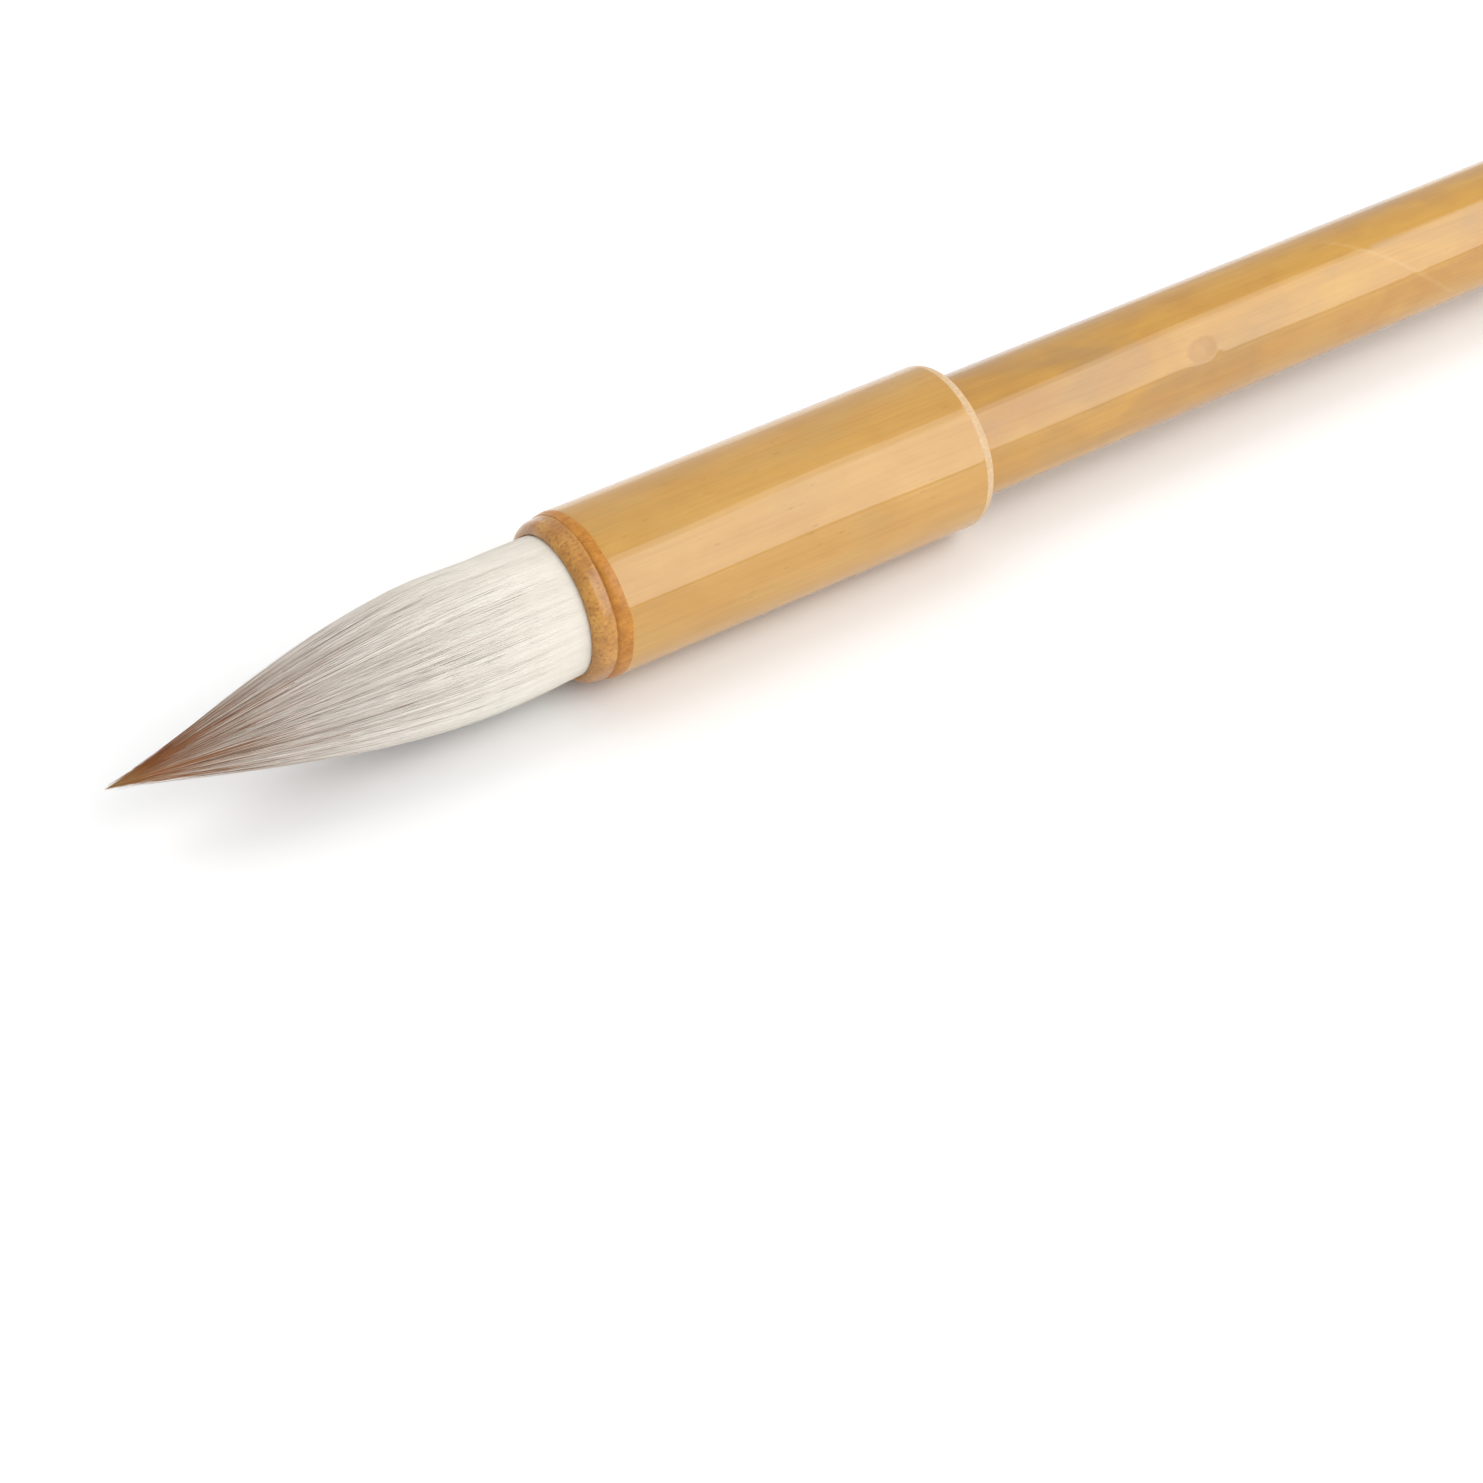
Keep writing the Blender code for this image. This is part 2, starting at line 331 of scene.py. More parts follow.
def mesh_from_grid(name, points, quads, uvs):
    """A mesh from numpy arrays of points, quads and one UV for each corner of each quad."""
    mesh = bpy.data.meshes.new(name)
    mesh.vertices.add(len(points))
    mesh.vertices.foreach_set("co", points.astype(np.float32).ravel())
    mesh.loops.add(quads.size)
    mesh.loops.foreach_set("vertex_index", quads.astype(np.int32).ravel())
    mesh.polygons.add(len(quads))
    mesh.polygons.foreach_set("loop_start", np.arange(0, quads.size, 4, dtype=np.int32))
    mesh.update(calc_edges=True)
    layer = mesh.uv_layers.new(name=UV_MAP)
    layer.data.foreach_set("uv", uvs.astype(np.float32).ravel())
    mesh.validate()
    return mesh


def add_piece(name, mesh, materials):
    piece = bpy.data.objects.new(name, mesh)
    for made in materials:
        mesh.materials.append(made)
    bpy.context.scene.collection.objects.link(piece)
    return piece


def arc(centre, radii, start, end, steps):
    """Points of an elliptical arc about a (station, radius) centre. Its angles, in degrees, are measured
    from the radius axis."""
    angles = [math.radians(start + (end - start) * i / steps) for i in range(steps + 1)]
    return [(centre[0] + radii[0] * math.sin(a), centre[1] + radii[1] * math.cos(a)) for a in angles]


def spaced(start, end, step):
    """(station, radius) points from start to end, at most a step apart."""
    count = max(1, math.ceil(abs(end[0] - start[0]) / step))
    shares = [i / count for i in range(count + 1)]
    return [(start[0] + (end[0] - start[0]) * t, start[1] + (end[1] - start[1]) * t) for t in shares]


def revolve(name, stretches, sides, materials, relief=None, lean=None):
    """A closed turned piece. A stretch is (points, material index), and the stretches run on from
    each other round the whole outline, from the tail to the mouth on the outer side.
    relief(station, angle) is how far the outer surface stands proud, and lean(station, angle)
    how far it is moved along the axis."""
    outline, slots = [], []
    for points, slot in stretches:
        start = 1 if outline and np.allclose(outline[-1], points[0], atol=1e-9) else 0
        outline += points[start:]
        slots += [slot] * (len(points) - start)
    if np.allclose(outline[0], outline[-1], atol=1e-9):
        outline.pop()
        slots[0] = slots.pop()
    stations, radii = np.array(outline).T
    angles = np.arange(sides) * 2 * math.pi / sides
    radius = np.repeat(radii[:, None], sides, axis=1)
    along = np.repeat(stations[:, None], sides, axis=1)
    outside = radii[:, None] > OUTER_SHARE * radii.max()
    if relief is not None:
        radius = radius + relief(stations[:, None], angles[None, :]) * outside
    if lean is not None:
        along = along + lean(stations[:, None], angles[None, :]) * outside
    points = np.stack([
        MOUTH_X + along,
        radius * np.cos(angles),
        AXIS_HEIGHT + radius * np.sin(angles),
    ], axis=-1).reshape(-1, 3)

    rings, closed = len(outline), radii[0] > 0 and radii[-1] > 0
    first = np.arange(rings if closed else rings - 1)
    here, after = np.meshgrid(first, np.arange(sides), indexing="ij")
    ring, side = (here + 1) % rings, (after + 1) % sides
    low, high = here * sides, ring * sides
    quads = np.stack([low + after, low + side, high + side, high + after], axis=-1)
    run = np.concatenate([[0], np.cumsum(np.hypot(np.diff(stations), np.diff(radii)))])
    run = np.append(run, run[-1] + math.hypot(stations[0] - stations[-1], radii[0] - radii[-1])) / run[-1]
    v0, v1 = run[here] / run.max(), run[here + 1] / run.max()
    u0, u1 = after / sides, (after + 1) / sides
    uvs = np.stack([u0, v0, u1, v0, u1, v1, u0, v1], axis=-1)
    mesh = mesh_from_grid(name, points, quads.reshape(-1, 4), uvs)
    face_slots = np.repeat(np.array(slots)[(first + 1) % rings], sides)
    merge_poles(mesh, face_slots)
    mesh.shade_smooth()
    mesh.set_sharp_from_angle(angle=SHARP_ANGLE)
    return add_piece(name, mesh, materials)


def merge_poles(mesh, face_slots):
    """Gives the faces their material slots, then joins the points that lie together on the axis."""
    mesh.polygons.foreach_set("material_index", face_slots.astype(np.int32))
    work = bmesh.new()
    work.from_mesh(mesh)
    bmesh.ops.remove_doubles(work, verts=work.verts, dist=1e-7)
    bmesh.ops.recalc_face_normals(work, faces=work.faces)
    work.to_mesh(mesh)
    work.free()
    mesh.update()


def bell(distance, width):
    """A smooth bump of height 1 at distance 0."""
    return np.exp(-((distance / width) ** 2))


def turn_between(angle, centre):
    """The signed angle from centre, in radians, the short way round."""
    return (angle - centre + math.pi) % (2 * math.pi) - math.pi


# --- Bamboo -----------------------------------------------------------------


def bamboo_skin(name, light, dark, dull, coat_roughness, seed, flecks):
    """Lacquered bamboo: long fibres, soft blotches and a few short dark flecks, under a clear coat."""
    skin = Shader(name, 0.42, specular=0.2, coat=0.95, coat_roughness=coat_roughness, coat_ior=1.58)
    place = skin.place()
    moved = skin.add("ShaderNodeMapping")
    moved.inputs["Location"].default_value = (seed, seed * 0.7, seed * 1.3)
    skin.join(place, moved.inputs["Vector"])
    place = moved.outputs["Vector"]

    fibres = skin.noise(skin.scaled(place, (90, 3200, 3200)), detail=4)
    bands = skin.noise(skin.scaled(place, (25, 420, 420)), detail=3)
    blotches = skin.noise(skin.scaled(place, (110, 170, 170)), detail=4, distortion=0.4)
    colour = skin.mix(skin.ramp(bands, [(0.3, 0.0), (0.7, 1.0)]), dark, light)
    colour = skin.mix(0.5, colour, skin.ramp(blotches, [(0.35, dark), (0.62, light)]))
    stains = skin.noise(skin.scaled(place, (55, 150, 150)), detail=3, distortion=0.6)
    colour = skin.mix(skin.ramp(stains, [(0.5, 0.0), (0.72, 0.8)]), colour, dull)
    shade = skin.ramp(fibres, [(0.3, 0.92), (0.55, 1.0), (0.8, 1.03)])
    colour = skin.mix(1.0, colour, shade, "MULTIPLY")

    specks = skin.cells(skin.scaled(place, (420, 1500, 1500)))
    chosen = skin.ramp(skin.noise(skin.scaled(place, (160, 260, 260)), detail=1), [(0.5, 0.0), (0.62, 1.0)])
    spots = skin.ramp(specks, [(0.1, flecks), (0.2, 0.0)])
    fleck_colour = tuple(0.55 * part for part in dark)
    colour = skin.mix(skin.maths("MULTIPLY", spots, chosen), colour, fleck_colour)
    skin.bump(skin.maths("ADD", fibres, skin.maths("MULTIPLY", bands, 2.0)), depth=0.012 * MM, strength=0.5)
    return skin, colour


def ferrule_skin():
    skin, colour = bamboo_skin(
        "ferrule_skin",
        light=(0.51, 0.28, 0.058),
        dark=(0.44, 0.215, 0.032),
        dull=(0.44, 0.25, 0.06),
        coat_roughness=0.07,
        seed=0.3,
        flecks=0.4,
    )
    return skin.colour(colour)


def handle_skin():
    """The handle's skin, with the golden spot of its bud, darkened as painted shade where its hollow breaks
    the coat's highlight, and the paler line of its sheath scar.
    """
    skin, colour = bamboo_skin(
        "handle_skin",
        light=(0.49, 0.262, 0.037),
        dark=(0.39, 0.18, 0.022),
        dull=(0.33, 0.178, 0.052),
        coat_roughness=0.1,
        seed=0.9,
        flecks=0.12,
    )
    turned = skin.add("ShaderNodeMapping", vector_type="TEXTURE")
    turned.inputs["Location"].default_value = (MOUTH_X + SCAR_STATION, 0, AXIS_HEIGHT)
    turned.inputs["Rotation"].default_value = (SCAR_ANGLE, 0, 0)
    skin.join(skin.place(), turned.inputs["Vector"])
    along, outward, sideways = (skin.axis_part(turned.outputs["Vector"], axis) for axis in "XYZ")
    turn = skin.maths("ARCTAN2", sideways, outward)
    off_line = skin.maths("SUBTRACT", along, skin.maths("MULTIPLY", turn, SCAR_PITCH))
    off_share = skin.maths("ABSOLUTE", skin.maths("DIVIDE", off_line, SCAR_LINE_WIDTH))
    near = skin.ramp(off_share, [(0.0, 1.0), (1.0, 0.0)])
    within = skin.ramp(skin.maths("ABSOLUTE", turn), [(0.85, 1.0), (1.0, 0.0)])
    paler = skin.maths("MULTIPLY", skin.maths("MULTIPLY", near, within), 0.16)
    colour = skin.mix(paler, colour, (0.62, 0.42, 0.18))
    from_bud = skin.maths("ADD", along, SCAR_STATION - BUD_STATION)
    from_bud = skin.maths("DIVIDE", from_bud, BUD_SPOT_LENGTH)
    beside_bud = skin.maths("DIVIDE", turn, BUD_SPOT_TURN)
    squares = skin.maths("ADD", skin.maths("POWER", from_bud, 2.0), skin.maths("POWER", beside_bud, 2.0))
    edge_noise = skin.noise(skin.scaled(skin.place(), (900, 900, 900)), detail=2)
    squares = skin.maths("ADD", squares, skin.maths("SUBTRACT", edge_noise, 0.5))
    # The bud's spot: its own golden colour, made darker still as painted shade where the hollow breaks the
    # highlight
    golden_and_shaded = skin.ramp(squares, [(0.0, 0.3), (0.55, 0.9), (0.95, 0.0)])
    return skin.colour(skin.mix(golden_and_shaded, colour, (0.37, 0.17, 0.015)))


def rim_grain():
    """The lacquered end grain: golden ground with the darker cut ends of the bamboo's fibre bundles."""
    grain = Shader("rim_end_grain", roughness=0.45, specular=0.3, coat=0.8, coat_roughness=0.14)
    place = grain.place()
    bundles = grain.cells(grain.scaled(place, (1700, 2300, 2300)))
    fine = grain.noise(grain.scaled(place, (2500, 4200, 4200)), detail=3)
    tone = grain.noise(grain.scaled(place, (500, 600, 600)), detail=2)
    paler = grain.ramp(tone, [(0.35, 0.0), (0.65, 1.0)])
    ground = grain.mix(paler, (0.4, 0.165, 0.02), (0.56, 0.27, 0.042))
    spots = grain.ramp(bundles, [(0.2, 1.0), (0.48, 0.0)])
    colour = grain.mix(grain.maths("MULTIPLY", spots, 0.6), ground, (0.33, 0.12, 0.015))
    worn = grain.noise(grain.scaled(place, (200, 130, 130)), detail=2)
    colour = grain.mix(grain.ramp(worn, [(0.45, 0.0), (0.68, 0.4)]), colour, (0.25, 0.1, 0.03))
    colour = grain.mix(1.0, colour, grain.ramp(fine, [(0.3, 0.8), (0.7, 1.12)]), "MULTIPLY")
    grain.colour(colour)
    grain.bump(bundles, depth=0.02 * MM, strength=0.5)
    return grain


def rim_band():
    """The burnished brown band between the groove and the skin."""
    band = Shader("rim_band", roughness=0.45, specular=0.25, coat=0.35, coat_roughness=0.25)
    place = band.place()
    streaks = band.noise(band.scaled(place, (900, 1300, 1300)), detail=4)
    fine = band.noise(band.scaled(place, (2500, 6000, 6000)), detail=2)
    colour = band.ramp(streaks, [(0.3, (0.38, 0.14, 0.014)), (0.7, (0.52, 0.22, 0.028))])
    colour = band.mix(1.0, colour, band.ramp(fine, [(0.3, 0.85), (0.7, 1.1)]), "MULTIPLY")
    band.colour(colour)
    band.bump(fine, depth=0.01 * MM, strength=0.5)
    return band


def cut_wood(name, light, dark, roughness):
    """Sanded wood with its skin cut away."""
    wood = Shader(name, roughness=roughness, specular=0.35, coat=0.3, coat_roughness=0.25)
    place = wood.place()
    grain = wood.noise(wood.scaled(place, (260, 2600, 2600)), detail=5)
    pores = wood.noise(wood.scaled(place, (1200, 5200, 5200)), detail=2)
    colour = wood.ramp(grain, [(0.3, dark), (0.7, light)])
    colour = wood.mix(1.0, colour, wood.ramp(pores, [(0.35, 0.85), (0.6, 1.0)]), "MULTIPLY")
    wood.colour(colour)
    wood.bump(pores, depth=0.015 * MM, strength=0.4)
    return wood


def ferrule_relief(station, angle):
    """The slightly uneven round of a natural culm. Lacquer fills the rim's groove in on the upper side."""
    long_wave = 0.018 * MM * np.sin(3 * angle + 40 * station) * np.sin(60 * station + 1.0)
    short_wave = 0.008 * MM * np.sin(11 * angle + 1.7) * np.sin(170 * station)
    filled = np.clip(np.cos(angle - UPPER_SIDE), 0, 1) * bell(station - RIM_GROOVE, 0.16 * MM)
    return long_wave + short_wave + GROOVE_FILL * filled - 0.02 * MM


def rim_lean(station, angle):
    """The skin was cut back by hand, further on one side than on the other."""
    rise = np.clip((station - LEAN_START) / (RIM_LENGTH - LEAN_START), 0, 1)
    fall = np.clip((LEAN_END - station) / (LEAN_END - RIM_LENGTH), 0, 1)
    uneven = 0.48 * np.cos(angle - LEAN_SIDE)
    uneven = uneven + 0.07 * np.sin(5 * angle) + 0.04 * np.sin(11 * angle + 1)
    return uneven * MM * rise**2 * fall**2


def add_ferrule(skin, grain, band, cream):
    """Skin, rounded rear edge, brown band, groove and end-grain bead, then the two sockets inside."""
    rear, outer = FERRULE_LENGTH, FERRULE_RADIUS
    round_start, round_foot = rear - REAR_ROUND_LENGTH, outer - REAR_ROUND_DROP
    round_radii = (REAR_ROUND_LENGTH, REAR_ROUND_DROP)
    rear_round = arc((round_start, round_foot), round_radii, 90, 0, REAR_ROUND_STEPS)
    cream_edge, skin_edge = rear_round[:CREAM_STEPS + 1], rear_round[CREAM_STEPS:]
    barrel = skin_edge + spaced((round_start, outer), (RIM_LENGTH, outer), FERRULE_STEP)[1:]
    band_line = [
        (RIM_LENGTH, outer),
        (RIM_LENGTH - 0.3 * MM, outer - 0.02 * MM),
        (RIM_GROOVE + 0.55 * MM, outer - 0.07 * MM),
        (RIM_GROOVE + 0.25 * MM, outer - 0.14 * MM),
        (RIM_GROOVE + 0.1 * MM, outer - 0.23 * MM),
        (RIM_GROOVE, outer - GROOVE_DEPTH),
    ]
    bead_centre = (BEAD_TURN, outer - BEAD_SINK - BEAD_DROP)
    bead_line = [
        band_line[-1],
        (RIM_GROOVE - 0.1 * MM, outer - 0.32 * MM),
        (RIM_GROOVE - 0.22 * MM, outer - 0.26 * MM),
        (RIM_GROOVE - 0.5 * MM, outer - 0.28 * MM),
        *arc(bead_centre, (BEAD_TURN, BEAD_DROP), 0, -90, BEAD_STEPS),
    ]
    lip_top = bead_line[-1][1]
    lip = arc((LIP_LENGTH, lip_top), (LIP_LENGTH, lip_top - SOCKET_RADIUS), -90, -180, LIP_STEPS)
    inside = [
        lip[-1],
        (SOCKET_DEPTH, SOCKET_RADIUS),
        (SOCKET_DEPTH, REAR_BORE_RADIUS),
        (rear, REAR_BORE_RADIUS),
        (rear, round_foot),
    ]
    stretches = [(cream_edge, 1), (barrel, 0), (band_line, 2), (bead_line, 3), (lip, 3), (inside, 1)]
    looks = [skin.material, cream.material, band.material, grain.material]
    ferrule = revolve("ferrule_bamboo", stretches, FERRULE_SIDES, looks, ferrule_relief, rim_lean)
    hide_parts("ferrule_sleeve")
    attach(ferrule, "handle")


def handle_relief(station, angle):
    """A natural culm's uneven round, a small bud scar, and the faint raised line of a sheath scar."""
    uneven = 0.02 * MM * np.sin(2 * angle + 25 * station) * np.sin(45 * station)
    uneven = uneven + 0.008 * MM * np.sin(9 * angle + 0.6) * np.sin(140 * station)
    taper = HANDLE_TAPER * np.clip((station - TAPER_START) / TAPER_LENGTH, 0, 1)
    along = station - BUD_STATION
    across = turn_between(angle, BUD_ANGLE) * HANDLE_RADIUS
    hollow = BUD_DEPTH * bell(along, 1.7 * MM) * bell(across, 1.2 * MM)
    bud_lip = 0.15 * MM * bell(along - 1.7 * MM, 0.5 * MM) * bell(across - 0.7 * MM, 0.6 * MM)
    turn = turn_between(angle, SCAR_ANGLE)
    fade = np.clip((1.05 - np.abs(turn)) / 0.2, 0, 1)
    ridge = 0.03 * MM * bell(station - SCAR_STATION - turn * SCAR_PITCH, 0.45 * MM) * fade
    return uneven - taper - hollow + bud_lip + ridge - 0.03 * MM


def add_handle(skin, cream):
    """The culm: skin outside, cut ends, and its bore."""
    front, rear, outer = HANDLE_SEAT, HANDLE_END, HANDLE_RADIUS
    edge = HANDLE_EDGE
    rear_edge = arc((rear - edge, outer - edge), (edge, edge), 90, 0, EDGE_STEPS)
    wall = spaced((rear - edge, outer), (front + edge, outer), HANDLE_STEP)
    front_edge = arc((front + edge, outer - edge), (edge, edge), 0, -90, EDGE_STEPS)
    bore = [front_edge[-1], (front, CULM_BORE_RADIUS), (rear, CULM_BORE_RADIUS), rear_edge[0]]
    stretches = [(rear_edge, 1), (wall, 0), (front_edge, 1), (bore, 1)]
    looks = [skin.material, cream.material]
    handle = revolve("handle_bamboo", stretches, HANDLE_SIDES, looks, handle_relief)
    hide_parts("handle_culm")
    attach(handle, "handle")


def add_tail_plug(wood):
    """The turned cap, with two fine turned lines, a cross hole for a cord and a tenon in the bore."""
    shoulder, tail, outer = HANDLE_END + GAP, TAIL_END, HANDLE_RADIUS
    rounding = TAIL_ROUNDING
    face = [(tail, (outer - rounding) * i / FACE_STEPS) for i in range(FACE_STEPS + 1)]
    corner = arc((tail - rounding, outer - rounding), (rounding, rounding), 90, 0, TAIL_STEPS)
    lines = []
    for middle in (tail - rounding - 0.5 * MM, shoulder + 0.7 * MM):
        lines.append((middle + TURNED_LINE, outer))
        lines.append((middle, outer - TURNED_LINE))
        lines.append((middle - TURNED_LINE, outer))
    bevel = [(shoulder + PLUG_BEVEL, outer), (shoulder, outer - PLUG_BEVEL)]
    side = [(tail - rounding, outer), *lines, *bevel]
    tenon = [side[-1], (shoulder, TENON_RADIUS), (TENON_END, TENON_RADIUS), (TENON_END, 0.0)]
    stretches = [(face, 0), (corner, 0), (side, 0), (tenon, 0)]
    plug = revolve("tail_plug_turned", stretches, PLUG_SIDES, [wood.material])
    drill_cord_hole(plug, (shoulder + tail) / 2)
    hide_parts("tail_plug")
    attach(plug, "handle")


def drill_cord_hole(plug, station):
    """A round hole straight across the plug."""
    bpy.ops.mesh.primitive_cylinder_add(
        vertices=CORD_HOLE_SIDES,
        radius=CORD_HOLE_RADIUS,
        depth=4 * HANDLE_RADIUS,
        location=(MOUTH_X + station, 0, AXIS_HEIGHT),
        rotation=(math.pi / 2, 0, 0),
    )
    drill = bpy.context.object
    cut = plug.modifiers.new("Cord_hole", "BOOLEAN")
    cut.operation = "DIFFERENCE"
    cut.object = drill
    bpy.context.view_layer.objects.active = plug
    bpy.ops.object.modifier_apply(modifier=cut.name)
    bpy.data.objects.remove(drill)
    plug.data.shade_smooth()
    plug.data.set_sharp_from_angle(angle=PLUG_SHARP_ANGLE)


# --- Hair -------------------------------------------------------------------


def tuft_radius(reach):
    """Outer radius of the hair at a reach, as an array: it swells to a belly, then falls to a point."""
    reach = np.asarray(reach, float)
    shortfall = 1 - np.clip(reach, 0, BELLY_REACH) / BELLY_REACH
    swell = BELLY_RADIUS - (BELLY_RADIUS - MOUTH_HAIR_RADIUS) * shortfall**2
    fall = np.clip((reach - BELLY_REACH) / (HAIR_LENGTH - BELLY_REACH), 0, 1)
    return swell * (1 - fall**BELLY_FULLNESS) ** POINT_SHARPNESS


def level(reach):
    """Where a reach lies along the hair's map: near 0 at the root, near 1 at the point."""
    return 0.05 + 0.9 * (reach + TUFT_START) / (HAIR_LENGTH + TUFT_START)


def sag(reach, angle):
    """How much flatter the tuft lies on its upper side, just outside the mouth."""
    upper = np.clip(np.cos(angle - UPPER_SIDE), 0, 1)
    return SAG_DEPTH * upper**2 * bell(reach - SAG_REACH, SAG_WIDTH)


def smooth_ring_noise(rng, count, angle):
    """Values from 0 to 1 that change smoothly round the tuft, with about count ups and downs."""
    values = rng.random(count)
    spot = (angle % (2 * math.pi)) / (2 * math.pi) * count
    low = np.floor(spot).astype(int) % count
    share = spot - np.floor(spot)
    share = share * share * (3 - 2 * share)
    return values[low] * (1 - share) + values[(low + 1) % count] * share


class Strands:
    """A crop of hairs: where each starts, ends, lies and wanders."""

    def __init__(self, rng, count, starts, ends, depths, widths):
        self.angle = (rng.permutation(count) + rng.random(count)) * 2 * math.pi / count
        self.start, self.end = starts, ends
        self.depth, self.width = depths, widths
        self.drift = rng.normal(0, 0.12, count)
        self.wave = rng.normal(0, 0.02 * MM, count)
        self.wave_length = rng.uniform(14, 30, count) * MM
        self.phase = rng.random(count) * 2 * math.pi
        self.stray = np.where(rng.random(count) < 0.04, rng.uniform(0.1, 0.4, count), 0) * MM
        broad = smooth_ring_noise(np.random.default_rng(BROAD_TONE_SEED), 26, self.angle)
        fine = smooth_ring_noise(np.random.default_rng(FINE_TONE_SEED), 110, self.angle)
        tone = 0.42 * broad + 0.28 * fine + 0.3 * rng.random(count)
        self.tone = np.clip(tone * TONES, 0, TONES - 1).astype(int)

    def centres(self, reach):
        """The radius and the angle of each hair's centre line, at its own row of reaches."""
        share = np.clip(reach / HAIR_LENGTH, 0, 1)
        gather = CLUMP_PULL * share**1.3
        towards = CLUMPS[np.abs(turn_between(self.angle[:, None], CLUMPS[None, :])).argmin(1)]
        pull = turn_between(towards, self.angle)[:, None] * gather
        angle = self.angle[:, None] + pull + self.drift[:, None] * share**1.3
        turns = reach / self.wave_length[:, None] * 2 * math.pi + self.phase[:, None]
        sway = self.wave[:, None] * np.sin(turns)
        angle = angle + sway / MOUTH_HAIR_RADIUS * (1 - share)
        packing = 0.12 + 0.88 * np.clip(share * 1.8, 0, 1)
        radius = tuft_radius(reach) * (1 - self.depth[:, None] * packing) - self.width[:, None]
        radius = radius - sag(reach, angle)
        radius = np.maximum(radius + self.stray[:, None] * share**2, 0.0)
        return radius, angle


def strand_mesh(name, hairs, low, high, segments):
    """The stretch of every hair between two reaches, as closed tubes that taper towards their ends."""
    starts = np.maximum(hairs.start, low)
    ends = np.minimum(hairs.end, high)
    kept = np.flatnonzero(ends - starts > SHORTEST_STRETCH)
    part = subset(hairs, kept)
    starts, ends = starts[kept], ends[kept]
    shares = np.linspace(0, 1, segments + 1)
    reach = starts[:, None] + (ends - starts)[:, None] * shares
    radius, angle = part.centres(reach)
    done = (reach - part.start[:, None]) / (part.end - part.start)[:, None]
    thick = part.width[:, None] * (1 - HAIR_TAPER * done**2)
    outward = np.stack([np.zeros_like(angle), np.cos(angle), np.sin(angle)], axis=-1)
    sideways = np.stack([np.zeros_like(angle), -np.sin(angle), np.cos(angle)], axis=-1)
    centre = outward * radius[..., None] + np.array([MOUTH_X, 0, AXIS_HEIGHT])
    centre[..., 0] -= reach
    sides = STRAND_SIDES
    corners = np.arange(sides) * 2 * math.pi / sides
    ring = (
        outward[:, :, None, :] * np.cos(corners)[None, None, :, None]
        + sideways[:, :, None, :] * np.sin(corners)[None, None, :, None]
    )
    points = centre[:, :, None, :] + ring * thick[:, :, None, None]

    count, rings = len(kept), segments + 1
    hair, step, side = np.meshgrid(np.arange(count), np.arange(segments), np.arange(sides), indexing="ij")
    after = (side + 1) % sides
    here = (hair * rings + step) * sides
    there = here + sides
    walls = np.stack([here + side, here + after, there + after, there + side], -1)
    u0 = (part.tone[hair] + 0.1 + 0.8 * side / sides) / TONES
    u1 = (part.tone[hair] + 0.1 + 0.8 * (side + 1) / sides) / TONES
    along = level(reach)
    v0, v1 = along[hair, step], along[hair, step + 1]
    wall_uvs = np.stack([u0, v0, u1, v0, u1, v1, u0, v1], axis=-1)

    first = np.arange(count)[:, None] * rings * sides
    front = first + np.arange(sides)[::-1]
    back = first + segments * sides + np.arange(sides)
    caps = np.concatenate([front, back])
    cap_u = (np.tile(part.tone, 2) + 0.5) / TONES
    cap_v = np.concatenate([along[:, 0], along[:, -1]])
    cap_uvs = np.repeat(np.stack([cap_u, cap_v], -1)[:, None, :], sides, axis=1).reshape(-1, 2 * sides)
    quads = np.concatenate([walls.reshape(-1, 4), caps])
    uvs = np.concatenate([wall_uvs.reshape(-1, 8), cap_uvs])
    mesh = mesh_from_grid(name, points.reshape(-1, 3), quads, uvs)
    mesh.shade_smooth()
    keep_caps_sharp(mesh, rings)
    return mesh


def subset(hairs, kept):
    """The hairs at these indices."""
    part = object.__new__(Strands)
    for key, value in vars(hairs).items():
        setattr(part, key, value[kept])
    return part


def keep_caps_sharp(mesh, rings):
    """Marks the edges round each tube's two ends as sharp, so that its walls shade smoothly up to them."""
    edges = np.empty(len(mesh.edges) * 2, np.int32)
    mesh.edges.foreach_get("vertices", edges)
    ring = edges.reshape(-1, 2) // STRAND_SIDES % rings
    ends = (ring == 0) | (ring == rings - 1)
    sharp = ends.all(axis=1) & (ring[:, 0] == ring[:, 1])
    attribute = mesh.attributes.get("sharp_edge") or mesh.attributes.new("sharp_edge", "BOOLEAN", "EDGE")
    attribute.data.foreach_set("value", sharp)


def hair_material(name, stops, tone_range, roughness):
    """Colour along the hair from its root to its point, lighter or darker from hair to hair."""
    hair = Shader(name, roughness=roughness, specular=0.4)
    hair.principled.inputs["Sheen Weight"].default_value = 0.15
    hair.principled.inputs["Sheen Roughness"].default_value = 0.4
    place = hair.hair_place()
    along = hair.axis_part(place, "Y")
    across = hair.axis_part(place, "X")
    colour = hair.ramp(along, [(level(position * HAIR_LENGTH), tint) for position, tint in stops])
    tone = hair.ramp(across, [(0.15, tone_range[0]), (0.85, tone_range[1])])
    uneven = hair.ramp(along, [(level(0), 0.35), (level(HAIR_LENGTH / 2), 1.0)])
    colour = hair.mix(uneven, colour, tone, "MULTIPLY")
    stretched = hair.scaled(place, (TONES, 20, 1))
    mottled = hair.ramp(hair.noise(stretched, detail=2), [(0.3, 0.9), (0.7, 1.06)])
    hair.colour(hair.mix(1.0, colour, mottled, "MULTIPLY"))
    return hair


def packed_hair_material():
    """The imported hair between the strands: pale at the root, grey-brown, then brown at the point."""
    hair = Shader("packed_hair", roughness=0.6, specular=0.3)
    place = hair.hair_place()
    along = hair.axis_part(place, "Y")
    colour = hair.ramp(along, [(level(position * HAIR_LENGTH), tint) for position, tint in PACKED_STOPS])
    lines = hair.noise(hair.scaled(place, (420, 9, 1)), detail=3)
    hair.colour(hair.mix(1.0, colour, hair.ramp(lines, [(0.3, 0.8), (0.7, 1.1)]), "MULTIPLY"))
    return hair


